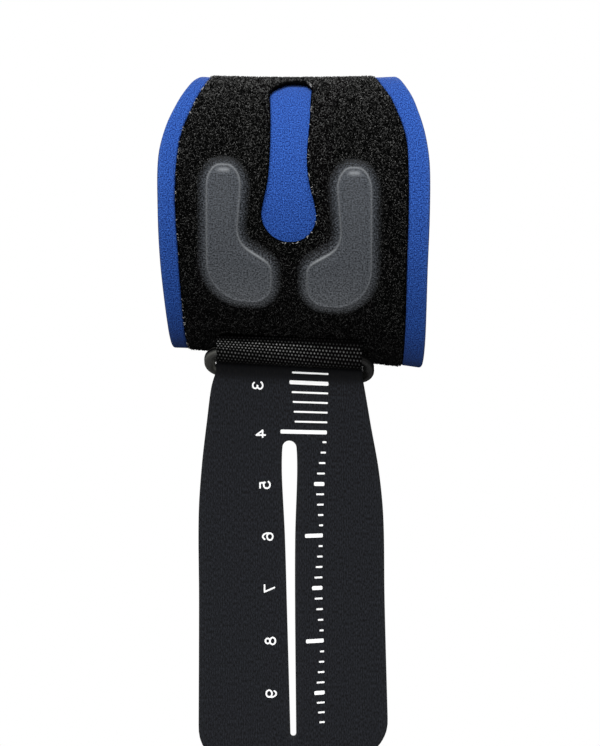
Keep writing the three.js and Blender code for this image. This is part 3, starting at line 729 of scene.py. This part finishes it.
def pad_outline(side):
    """The line of a pad's ridge. Side is 1 for the right pad and -1 for the left."""
    def bend(start, middle, end):
        t = np.linspace(0, 1, 17)[:, None]
        return (1 - t) ** 2 * np.array(start) + 2 * t * (1 - t) * np.array(middle) + t ** 2 * np.array(end)

    shoulder = PAD_STEM_TOP - PAD_CAP[1]
    heel = (PAD_STEM_OUT - PAD_HEEL_RADIUS, PAD_BOTTOM + PAD_HEEL_RADIUS)
    toe = (PAD_TOE_IN + PAD_TOE_RADIUS, PAD_BOTTOM + PAD_TOE_RADIUS)
    waist = (PAD_WAIST, PAD_ANKLE[1] + PAD_ANKLE_RISE)
    line = np.concatenate([
        arc_line((PAD_STEM_IN + PAD_CAP[0], shoulder), PAD_CAP, 180, 90, 25),
        arc_line((PAD_STEM_OUT - PAD_CAP[0], shoulder), PAD_CAP, 90, 0, 25),
        arc_line(heel, PAD_HEEL_RADIUS, 0, -90, 25),
        arc_line(toe, PAD_TOE_RADIUS, -90, -180, 25),
        bend((PAD_TOE_IN, toe[1] + PAD_TOE_SIDE), (PAD_TOE_IN, PAD_INSTEP[1] - PAD_INSTEP_BEND), PAD_INSTEP),
        bend(PAD_ANKLE, (PAD_WAIST, PAD_ANKLE[1] + PAD_ANKLE_BEND), waist),
    ])
    return np.stack([MIDDLE_X + side * line[:, 0], line[:, 1]], 1)


def pile_piece(name, material, low, high, pitch):
    """Curled loops of yarn that stand on the cover between two arcs."""
    steps, sides = 4, 3
    columns = np.arange(-PILE_HALF_WIDTH, PILE_HALF_WIDTH, pitch)
    feet = np.stack(np.meshgrid(columns, np.arange(low, high, pitch)), -1).reshape(-1, 2)
    feet = feet + random.uniform(-PILE_JITTER, PILE_JITTER, feet.shape) * pitch
    rim = cover_rim(feet)
    pad = np.maximum(edge_distance(feet, pad_outline(1)), edge_distance(feet, pad_outline(-1)))
    arc, from_middle = feet[:, 1], np.abs(feet[:, 0] - MIDDLE_X)
    under_strap = (arc > STRAP_RUN[0][0] + PILE_UNDER) & (from_middle < STRAP_RUN[0][2] - PILE_UNDER)
    under_webbing = (arc < WEBBING_TOP_ARC - PILE_UNDER) & (from_middle < WEBBING_HALF - PILE_UNDER_SIDE)
    kept = (rim > PILE_MARGIN) & (pad < -PAD_CLEAR) & ~under_strap & ~under_webbing
    feet, rim, pad = feet[kept], rim[kept], pad[kept]
    count = len(feet)
    heading = random.uniform(0, 2 * math.pi, count)
    curl = random.uniform(-PILE_CURL, PILE_CURL, count)
    cut = (rim < PILE_CUT_EDGE) & (random.uniform(0, 1, count) < PILE_CUT_SHARE)
    # Pale cut loops stay only on edges that face up and to the left, towards the light: pale fibres with a
    # painted highlight
    cut[cut] = cover_rim(feet[cut] + PILE_CUT_INWARD_FROM_LIT_EDGE) > rim[cut] + PILE_CUT_GAIN
    near_rim = np.clip(PILE_SHORTEST + rim, PILE_SHORTEST, 1)
    length = random.uniform(*PILE_LENGTH, count) * np.where(cut, 1, near_rim)
    height = random.uniform(*PILE_HEIGHT, count)
    thick = random.uniform(*PILE_RADIUS, count) * np.where(cut, PILE_CUT_THICK, 1)
    t = np.linspace(0, 1, steps)
    angle = heading[:, None] + curl[:, None] * (t - 0.5)
    stride = length[:, None, None] / (steps - 1) * np.stack([np.cos(angle), np.sin(angle)], -1)
    ground_line = np.cumsum(stride, 1)
    ground_line = feet[:, None] + ground_line - ground_line.mean(1, keepdims=True)
    rise = height[:, None] * np.sin(math.pi * t) ** PILE_BLUNT
    path = np.concatenate([ground_line, rise[..., None]], -1)
    along = np.gradient(path, axis=1)
    along /= np.linalg.norm(along, axis=-1, keepdims=True)
    across = np.cross(along, (0, 0, 1))
    across /= np.maximum(np.linalg.norm(across, axis=-1, keepdims=True), 1e-6)
    up = np.cross(across, along)
    around = np.linspace(0, 2 * math.pi, sides, endpoint=False)
    ring = path[:, :, None] + thick[:, None, None, None] * (
        np.cos(around)[:, None] * up[:, :, None] + np.sin(around)[:, None] * across[:, :, None])
    points = on_sleeve(ring[..., 1], ring[..., 0], COVER_OUTER - PILE_SUNK + ring[..., 2])
    # Each loop's tone: a painted shade by arc, darker low down where the band turns under and lighter on top,
    # times a random tone
    tone = np.interp(feet[:, 1], *zip(*PILE_PAINTED_SHADE_BY_ARC)) * random.uniform(0, 1, count) ** PILE_TONE_POWER
    # Loops near a cut edge are darkened as painted shade beside the edge; the pale cut loops take their own
    # tone
    tone = np.where(cut, PILE_CUT_TONE, np.where(rim < PILE_CUT_EDGE, PILE_RIM_SHADE * tone, tone))
    halo = PILE_HALO_TONE * bell(pad, PAD_HALO)
    tone, halo = (np.repeat(values, steps * sides) for values in (tone, halo))
    return make_piece(name, points, tube_faces(count, steps, sides), material, "pile", tone=tone, halo=halo)


def pad_piece(name, side, node, material):
    """A gel pad: level top, thin ridge and a skirt that sinks into the pile."""
    ridge_line = pad_outline(side)
    margin = PAD_SKIRT + PAD_STEP
    low, high = ridge_line.min(0) - margin, ridge_line.max(0) + margin
    x, arc = np.meshgrid(np.arange(low[0], high[0], PAD_STEP), np.arange(low[1], high[1], PAD_STEP))
    flat = flat_points(x, arc)
    inside = edge_distance(flat, ridge_line)
    facing_up = -np.gradient(inside, PAD_STEP, axis=0)
    from_top = arc - PAD_STEM_TOP
    foot = COVER_OUTER - PAD_FOOT
    shoulder = ON_COVER + PAD_SHOULDER
    slope = np.clip(-inside / PAD_SKIRT, 0, 1)
    crown = PAD_CROWN + PAD_CROWN_TOP * ease((from_top + PAD_TOP_REACH) / PAD_TOP_BLEND)
    height = np.where(inside > 0, shoulder + crown * ease((inside - PAD_CROWN_START) / PAD_CROWN_SLOPE),
                      foot + (shoulder - foot) * (1 - slope) ** PAD_SKIRT_BEND)
    ridge = bell(inside, PAD_RIDGE_WIDTH)
    outer = on_sleeve(arc, x, height + PAD_RIDGE_HEIGHT * ridge)
    inner = on_sleeve(arc, x, foot - PAD_FOOT_THICK)
    # Painted highlights: a crescent on the crown's upward-facing shoulder near the top, and the ridge
    # brighter where it faces up and most at the instep
    crescent_highlight = np.clip(facing_up, 0, 1) ** PAD_CRESCENT_POWER
    crescent_highlight = PAD_CRESCENT_HIGHLIGHT * crescent_highlight * bell(inside - PAD_CRESCENT, PAD_CRESCENT_WIDTH)
    crescent_highlight = crescent_highlight * ease((from_top + PAD_CRESCENT_REACH) / PAD_CRESCENT_BLEND)
    instep_highlight = PAD_RIDGE_HIGHLIGHT_LEAST + (1 - PAD_RIDGE_HIGHLIGHT_LEAST) * bell(arc - PAD_SHINE_ARC, PAD_SHINE_WIDTH) * ease(facing_up)
    ridge = ridge * (PAD_RIDGE_HIGHLIGHT_SIDE + (1 - PAD_RIDGE_HIGHLIGHT_SIDE) * facing_up) * instep_highlight
    ridge = np.maximum(ridge, crescent_highlight)
    # Paler towards the bottom of the pad, by arc
    worn = np.interp(arc, *zip(*PAD_PALER_BY_ARC))
    # Painted light and shade on the skirt: it stays paler where its edge faces down and darker where it faces
    # up
    skirt_painted_light = np.clip(PAD_SKIRT_PAINTED_LIGHT[0] - PAD_SKIRT_PAINTED_LIGHT[1] * facing_up, 0, PAD_SKIRT_PAINTED_LIGHT_MOST)
    faded = np.where(slope > 0, 1 - skirt_painted_light * (1 - ease(slope)), 0)
    near = inside > -PAD_SKIRT
    faces = sheet_faces(near[:-1, :-1] & near[:-1, 1:] & near[1:, 1:] & near[1:, :-1])
    used, faces = np.unique(faces, return_inverse=True)
    points = np.stack([outer, inner]).reshape(-1, 3)[used]
    flats = both(flat).reshape(-1, 2)[used]
    ridge, faded, worn = (both(values).ravel()[used] for values in (ridge, faded, worn))
    piece = make_piece(name, points, faces.reshape(-1, 4), material, "gel", flats,
                       ridge=ridge, skirt=faded, worn=worn)
    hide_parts(node)


def bar_at(x, upper):
    """Middle of a bar at x: upper is 1 for the upper bar and -1 for the lower."""
    out = upper * BAR_PITCH / 2
    return (LOOP_Y - out * math.sin(LOOP_TILT),
            LOOP_Z + out * math.cos(LOOP_TILT) - math.tan(LOOP_ROLL) * (x - MIDDLE_X))


def touch_angle(point, bar, radius, side):
    """Where a straight run from a point touches a circle round a bar, as the angle from +Y towards +Z."""
    dy, dz = point[..., 1] - bar[0], point[..., 2] - bar[1]
    return np.arctan2(dz, dy) + side * np.arccos(radius / np.hypot(dy, dz))


def round_bar(x, bar, radius, start, end, shares):
    angle = start + (end - start) * shares[:, None]
    y, z = bar[0] + radius * np.cos(angle), bar[1] + radius * np.sin(angle)
    return np.stack([np.broadcast_to(x, angle.shape), y, z], -1)


def out_of(middle):
    """Unit vectors out of a sheet that follows lines of points, in the YZ plane."""
    along = np.gradient(middle, axis=0)
    length = np.hypot(along[..., 1], along[..., 2])
    return np.stack([np.zeros(length.shape), -along[..., 2] / length, along[..., 1] / length], -1)


def length_along(middle):
    """Steps between a sheet's rows, and each row's distance from the first, along its middle column."""
    steps = np.linalg.norm(np.diff(middle[:, middle.shape[1] // 2], axis=0), axis=1)
    return steps, np.concatenate([[0], np.cumsum(steps)])[:, None]


def webbing_piece():
    """Woven tape round the loop's upper bar, with each raised thread modelled."""
    radius = BAR_RADIUS + BAR_CLEARANCE + WEBBING_THICK / 2
    x = MIDDLE_X + np.linspace(-WEBBING_HALF, WEBBING_HALF, WEBBING_COLUMNS)
    slant = WEBBING_TOP_SLANT * (x - MIDDLE_X)
    standoff = ON_COVER + WEBBING_THICK / 2
    top = on_sleeve(WEBBING_TOP_ARC + slant, x, standoff)
    end = on_sleeve(WEBBING_END_ARC + slant, x, standoff)
    bar = bar_at(x, 1)
    front = touch_angle(top, bar, radius, 1)
    back = touch_angle(end, bar, radius, -1) + 2 * math.pi
    bend = round_bar(x, bar, radius, front, back, np.linspace(0, 1, 60))
    down = np.linspace(0, 1, 40)[:-1, None, None]
    up = np.linspace(0, 1, 24)[1:, None, None]
    middle = np.concatenate([top * (1 - down) + bend[0] * down, bend, bend[-1] * (1 - up) + end * up])
    _, along = length_along(middle)
    row = np.floor(along / WEAVE_ROW)
    across = (x - x[0]) / WEAVE_COLUMN + 0.5 * (row % 2)
    u = across % 1 - 0.5
    v = along / WEAVE_ROW % 1 - 0.5
    raised = np.clip(1 - (u / WEAVE_THREAD[0]) ** 2 - (v / WEAVE_THREAD[1]) ** 2, 0, 1)
    # Painted shade on the raised threads: dim at the top edge, darker as the tape runs down and round the
    # bar, and darker towards the right
    painted_shade = np.interp(along, *zip(*WEBBING_PAINTED_SHADE)) * np.interp(x, *zip(*WEBBING_PAINTED_SHADE_SIDE))
    rim = np.minimum(WEBBING_HALF - np.abs(x - MIDDLE_X), np.minimum(along, along[-1] - along))
    half = (WEBBING_THICK / 2 - WEBBING_SUNK) * rounded(rim, *WEBBING_RIM)
    thread = out_of(middle) * (half - WEAVE_HEIGHT / 2 + WEAVE_HEIGHT * raised)[..., None]
    points = np.stack([middle + thread, middle - thread])
    piece = make_piece("webbing_weave", points, sheet_faces(grid_cells(half)), webbing_material(), "webbing",
                       both(flat_points(x, along)), raised=both(raised * painted_shade))
    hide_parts("webbing_tab")
    return piece, (2 * WEBBING_HALF * MM, float(along[-1, 0]) * MM)


def loop_piece():
    """The moulded loop: two rounded bars with broad rounded ends."""
    outside = rounded_box(LOOP_WIDTH / 2, BAR_PITCH / 2 + BAR_RADIUS, LOOP_CORNER, 15)
    inside = rounded_box(SLOT_WIDTH / 2, BAR_PITCH / 2 - BAR_RADIUS, SLOT_CORNER, 15)
    reach = inside - outside
    width = np.linalg.norm(reach, axis=1)
    angles = np.radians(np.linspace(0, 90, 7))
    inset = BAR_ROUND * (1 - np.cos(angles))
    level = (BAR_RADIUS - BAR_ROUND) + BAR_ROUND * np.sin(angles)
    depth = np.concatenate([level, level[::-1], -level, -level[::-1]])
    near = np.broadcast_to(inset, (len(width), len(inset)))
    far = width[:, None] - near
    share = np.concatenate([near, far[:, ::-1], far, near[:, ::-1]], 1) / width[:, None]
    flat = outside[:, None] + share[..., None] * reach[:, None]
    along, across = flat[..., 0], flat[..., 1]
    y = LOOP_Y - across * math.sin(LOOP_TILT) - depth * math.cos(LOOP_TILT)
    z = LOOP_Z + across * math.cos(LOOP_TILT) - depth * math.sin(LOOP_TILT)
    points = np.stack([MIDDLE_X + along * math.cos(LOOP_ROLL), y, z - along * math.sin(LOOP_ROLL)], -1)
    index = np.arange(share.size).reshape(share.shape)
    onward, turned = np.roll(index, -1, 0), np.roll(index, -1, 1)
    faces = np.stack([index, turned, np.roll(turned, -1, 0), onward], -1).reshape(-1, 4)
    # Paler on the bars' rims and more so towards the left end: worn rims with a painted highlight from the
    # left
    wear = bell(np.abs(depth) - LOOP_WEAR_AND_HIGHLIGHT_DEPTH, LOOP_WEAR_AND_HIGHLIGHT_WIDTH)
    wear = wear * ease(0.5 - LOOP_HIGHLIGHT_SLANT * along / LOOP_WIDTH)
    piece = make_piece("moulded_loop", points, faces, plastic_material(), "plastic", wear=wear)
    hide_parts("strap_loop")


def tail_point(x, drop, out):
    """A point on the free end: out is its distance in front of the strap's front face."""
    bar_y, bar_z = bar_at(MIDDLE_X, -1)
    skew = -math.tan(LOOP_ROLL) + (TAIL_END_SKEW + math.tan(LOOP_ROLL)) * drop / TAIL_LENGTH
    front = bar_y - BAR_RADIUS - BAR_CLEARANCE - STRAP_THICK
    return np.stack(np.broadcast_arrays(x, front - out, bar_z - drop + skew * (x - MIDDLE_X)), -1)


def strap_piece():
    """The strap from its seam at the back, under the hollow, over the loop's lower bar and down."""
    run = np.arange(STRAP_RUN[0][0], STRAP_RUN[-1][0] + 0.01, STRAP_RUN_STEP)
    bends = np.linspace(0, 1, 15)
    before = len(run) + len(bends)
    slit_drops = outline_stations(SLIT, ROW_STEP)
    low, high = slit_drops[0], slit_drops[-1]
    end = TAIL_LENGTH - (TAIL_LENGTH - high) * (1 - np.sin(np.linspace(0, math.pi / 2, 12)))
    drops = np.concatenate([np.arange(TAIL_START, low - ROW_GAP, ROW_STEP), slit_drops, end[1:]])
    tail_half = smooth(TAIL_WIDTH, 1)(drops) - corner_loss(TAIL_LENGTH - drops, TAIL_CORNER)
    half = np.concatenate([smooth(STRAP_RUN, 2)(run), np.full(len(bends), STRAP_LOOP_HALF), tail_half])
    centre = np.concatenate([np.full(before, MIDDLE_X), smooth(TAIL_WIDTH, 2)(drops)])
    left, right = centre - half, centre + half
    across_slit = 4
    slit_edges = hole_edges(SLIT, np.concatenate([np.zeros(before), drops]), *SLIT_SPREAD)
    x, first = columns_in_three((left, *slit_edges, right), 14, STRAP_INSET, across_slit)
    hole = (slice(*before + np.searchsorted(drops, (low, high))), slice(first, first + across_slit))

    radius = BAR_RADIUS + BAR_CLEARANCE + STRAP_THICK / 2
    sewn = sum(bell(run - arc, SEAM_WIDTH) for arc in SEAM_ARCS)
    pressed = SEAM_DIP * sewn + SEAM_PRESS * (1 - ease((run - run[0]) / SEAM_PRESS_LENGTH))
    standoff = smooth(STRAP_RUN, 1)(run) - pressed + STRAP_THICK / 2
    on_run = on_sleeve(run[:, None], x[:len(run)], standoff[:, None])
    bend_x = x[len(run)]
    bar = bar_at(bend_x, -1)
    touch = touch_angle(on_run[-1], bar, radius, 1)
    on_bend = round_bar(bend_x, bar, radius, touch, math.pi, bends)
    on_tail = tail_point(x[before:], drops[:, None], -STRAP_THICK / 2)
    middle = np.concatenate([on_run, on_bend, on_tail])

    steps, along = length_along(middle)
    rim = np.minimum(np.minimum(x - left[:, None], right[:, None] - x), np.minimum(along, along[-1] - along))
    from_slit = -edge_distance(flat_points(x[before:], drops[:, None]), polygon(SLIT))
    rim[before:] = np.minimum(rim[before:], from_slit)
    out = out_of(middle) * (STRAP_THICK / 2 * rounded(rim, *STRAP_RIM))[..., None]
    wear = np.exp(-np.clip(rim, 0, None) / STRAP_WEAR)
    # Painted shadow: full round the loop's lower bar under the webbing, fading down the free end; none on the
    # run round the back
    soil = np.concatenate([np.zeros(len(run)), np.ones(len(bends)), bell(drops, STRAP_SHADOW_DROP)])
    soil = np.broadcast_to(soil[:, None], x.shape)
    flat = flat_points(x, -along)
    points = np.stack([middle + out, middle - out])
    piece = make_piece("strap_cloth", points, sheet_faces(grid_cells(x, hole)), strap_material(), "strap",
                       np.stack([flat, flat + STRAP_THICK]), wear=both(wear), soil=both(soil))
    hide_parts("strap")
    size = (float(2 * half.max()) * MM, float(along[-1, 0]) * MM)
    area = float(np.sum((half[1:] + half[:-1]) * steps)) * MM ** 2 - flat_area(SLIT)
    return piece, size, area


def digit_strokes(number):
    """Strokes of a digit in a box of one by one, x to the right and y up. A ring is closed."""
    middle, ring = (0.5, 0.5), (0.5, 0.29)
    strokes = {
        3: [arc_line((0.48, 0.75), (0.44, 0.25), 155, -80), arc_line((0.48, 0.27), (0.52, 0.27), 88, -155)],
        4: [[(0.7, 0.06), (0.7, 0.95)], [(0.7, 0.95), (0, 0.32)], [(0, 0.32), (1, 0.32)]],
        5: [[(0.92, 1), (0.2, 1)], [(0.2, 1), (0.12, 0.5)], arc_line((0.46, 0.32), (0.53, 0.32), 132, -150)],
        6: [arc_line(ring, ring, 0, 360, 40), arc_line(middle, 0.5, 205, 38)],
        7: [[(0, 1), (1, 1)], [(1, 1), (0.36, 0)]],
        8: [arc_line((0.5, 0.77), (0.37, 0.23), 0, 360, 36), arc_line((0.5, 0.27), (0.5, 0.27), 0, 360, 40)],
        9: [arc_line((0.5, 0.71), ring, 0, 360, 40), arc_line(middle, 0.5, 25, -142)],
    }
    return [np.array(line, float) for line in strokes[number]]


class Print:
    """Flat strokes in one mesh. Each stroke of a digit has its own level, so none share a plane."""

    def __init__(self):
        self.points = []
        self.faces = []

    def shape(self, outline, level):
        start = len(self.points)
        self.points += [(x, drop, level) for x, drop in outline]
        self.faces.append(list(range(start, start + len(outline))))

    def stroke(self, line, width, level):
        """A band along a line of (x, drop) points: a ring when it is closed, else with round ends."""
        closed = np.allclose(line[0], line[-1])
        along = np.gradient(line, axis=0)
        if closed:
            along[0] = along[-1] = line[1] - line[-2]
        along /= np.linalg.norm(along, axis=1, keepdims=True)
        side = np.stack([-along[:, 1], along[:, 0]], 1) * width / 2
        start = len(self.points)
        for left, right in zip(line + side, line - side):
            self.points += [(*left, level), (*right, level)]
        for i in range(start, start + 2 * len(line) - 2, 2):
            self.faces.append([i, i + 1, i + 3, i + 2])
        if not closed:
            turn = np.radians(np.linspace(-90, 90, 9))[:, None]
            for end, outward in ((0, -along[0]), (-1, along[-1])):
                fan = line[end] + width / 2 * np.cos(turn) * outward + np.sin(turn) * side[end]
                self.shape(fan, level)

    def bar(self, centre, length, width, tilt):
        outline = rounded_box(length / 2, width / 2, TICK_CORNER * width, 5)
        outline[:, 1] -= math.tan(math.radians(tilt)) * outline[:, 0]
        self.shape(outline + centre, 0)


def tick_length(number, step):
    """A tick's length: long on even numbers, and shorter the further it is from an odd one."""
    if step == 0:
        return TICK_EVEN if number % 2 == 0 else TICK_ODD
    from_odd = step if number % 2 else TICKS_PER_NUMBER - step
    return TICK_MINOR - TICK_MINOR_STEP * from_odd


def print_piece():
    """The white scale: ticks on one side of the slit and numbers on the other."""
    drawn = Print()
    drop_at, right_at, tilt_at = (smooth(SCALE, column) for column in (1, 2, 3))
    first = SCALE[0][0] * TICKS_PER_NUMBER - TICKS_BEFORE
    last = SCALE[-1][0] * TICKS_PER_NUMBER + TICKS_AFTER
    slit_top = SLIT["rows"][0][0]
    number_gap = SCALE[1][1] - SCALE[0][1]
    for tick in range(first, last + 1):
        number, step = divmod(tick, TICKS_PER_NUMBER)
        value = tick / TICKS_PER_NUMBER
        beyond = min(0, value - SCALE[0][0]) + max(0, value - SCALE[-1][0])
        drop = float(drop_at(value)) + beyond * number_gap
        length = tick_length(number, step) + (TICK_EXTRA_ABOVE_SLIT if drop < slit_top else 0)
        width = TICK_WIDTH if step else TICK_WIDTH_NUMBER
        drawn.bar((float(right_at(value)) - length / 2, drop), length, width, float(tilt_at(value)))
    for number, _, _, _, digit_x, digit_drop in SCALE:
        for level, line in enumerate(digit_strokes(number)):
            x = digit_x - (line[:, 1] - 0.5) * DIGIT_HEIGHT
            drop = digit_drop + (line[:, 0] - 0.5) * DIGIT_WIDTH
            drawn.stroke(np.stack([x, drop], 1), DIGIT_STROKE, level * PRINT_LEVEL_STEP)
    flat = np.array(drawn.points)
    points = tail_point(flat[:, 0], flat[:, 1], PRINT_RISE + flat[:, 2])
    points[:, 2] = bar_at(MIDDLE_X, -1)[1] - flat[:, 1]
    return make_piece("printed_scale", points, drawn.faces, print_material(), "strap")


def stitch_piece(material):
    """Two rows of stitches where the strap is sewn to the band's back end."""
    around = np.linspace(0, 2 * math.pi, 8, endpoint=False)
    shares = np.linspace(-1, 1, 7)[:, None]
    along = shares * STITCH_LENGTH / 2
    radius = STITCH_RADIUS * np.sqrt(np.clip(1 - shares ** 4, STITCH_END, 1))
    out = ON_COVER + STRAP_THICK - SEAM_DIP + STITCH_RISE - STITCH_BEND * shares ** 2
    middles = np.arange(MIDDLE_X - STITCH_SPAN, MIDDLE_X + STITCH_SPAN + 0.1, STITCH_PITCH)
    points = np.stack([
        on_sleeve(arc + radius * np.cos(around), x + along, out + radius * np.sin(around))
        for arc in SEAM_ARCS for x in middles])
    shape = points.shape[:3]
    return make_piece("seam_stitches", points, tube_faces(*shape), material, "strap",
                      raised=np.full(shape, STITCH_TONE))


# Studio

def add_camera():
    data = bpy.data.cameras.new("camera")
    data.sensor_fit = "VERTICAL"
    data.sensor_height = SENSOR_HEIGHT
    data.lens = SENSOR_HEIGHT / (IMAGE_HEIGHT * VIEW_PER_PIXEL)
    data.clip_start = 0.01
    camera = add_object("camera", data)
    camera.location = (CAMERA_X * MM, CAMERA_Y * MM, CAMERA_Z * MM)
    camera.rotation_euler = (math.pi / 2, 0, 0)
    scene.camera = camera
    scene.view_settings.view_transform = "Standard"


def add_floor():
    mesh = bpy.data.meshes.new("floor")
    rim = arc_line((0, 0), FLOOR_RADIUS * MM, 0, 360, 97)[:-1]
    mesh.from_pydata([(x, y, 0) for x, y in rim], [], [range(len(rim))])
    mesh.materials.append(floor_material())
    floor = add_object("floor", mesh)
    floor.location = (0, FLOOR_Y * MM, CAD_BOX[0][2] - FLOOR_GAP * MM)
    floor.visible_diffuse = False


def add_surroundings():
    """White behind the part, and a light from all round that is stronger from above."""
    world = bpy.data.worlds.new("white studio")
    world.use_nodes = True
    tree = world.node_tree
    towards = add_node(tree, "TexCoord").outputs["Generated"]
    height = add_node(tree, "SeparateXYZ", {0: towards}).outputs["Z"]
    ambient = between(height, AMBIENT_BELOW, AMBIENT_ABOVE, AMBIENT_LOW, AMBIENT_HIGH)
    seen = add_node(tree, "LightPath").outputs["Is Camera Ray"]
    background = tree.nodes["Background"]
    background.inputs["Color"].default_value = (1, 1, 1, 1)
    tree.links.new(math_node("MAXIMUM", seen, ambient), background.inputs["Strength"])
    scene.world = world


def add_light(name, place, size, watts):
    """A soft light that shines at the origin."""
    data = bpy.data.lights.new(name, "AREA")
    data.size = size
    data.energy = watts
    light = add_object(name, data)
    light.location = place
    light.rotation_euler = (-light.location).to_track_quat("-Z", "Y").to_euler()
    light.visible_camera = False


add_camera()
base = base_piece()
yarn = pile_material()
cover = cover_piece(yarn)
pile = [pile_piece(f"pile_{name}", yarn, low, high, pitch) for name, low, high, pitch in PILE_STRETCHES]
gel = gel_material()
pad_piece("pad_left", -1, "gel_pad_left", gel)
pad_piece("pad_right", 1, "gel_pad_right", gel)
webbing, webbing_size = webbing_piece()
loop_piece()
strap, strap_size, strap_area = strap_piece()
scale_print = print_piece()
stitches = stitch_piece(webbing.data.materials[0])

flat_size(BASE)
flat_area(BASE)
flat_size(COVER)
flat_area(COVER) - flat_area(WINDOW)

add_floor()
add_surroundings()
for light in LIGHTS:
    add_light(*light)
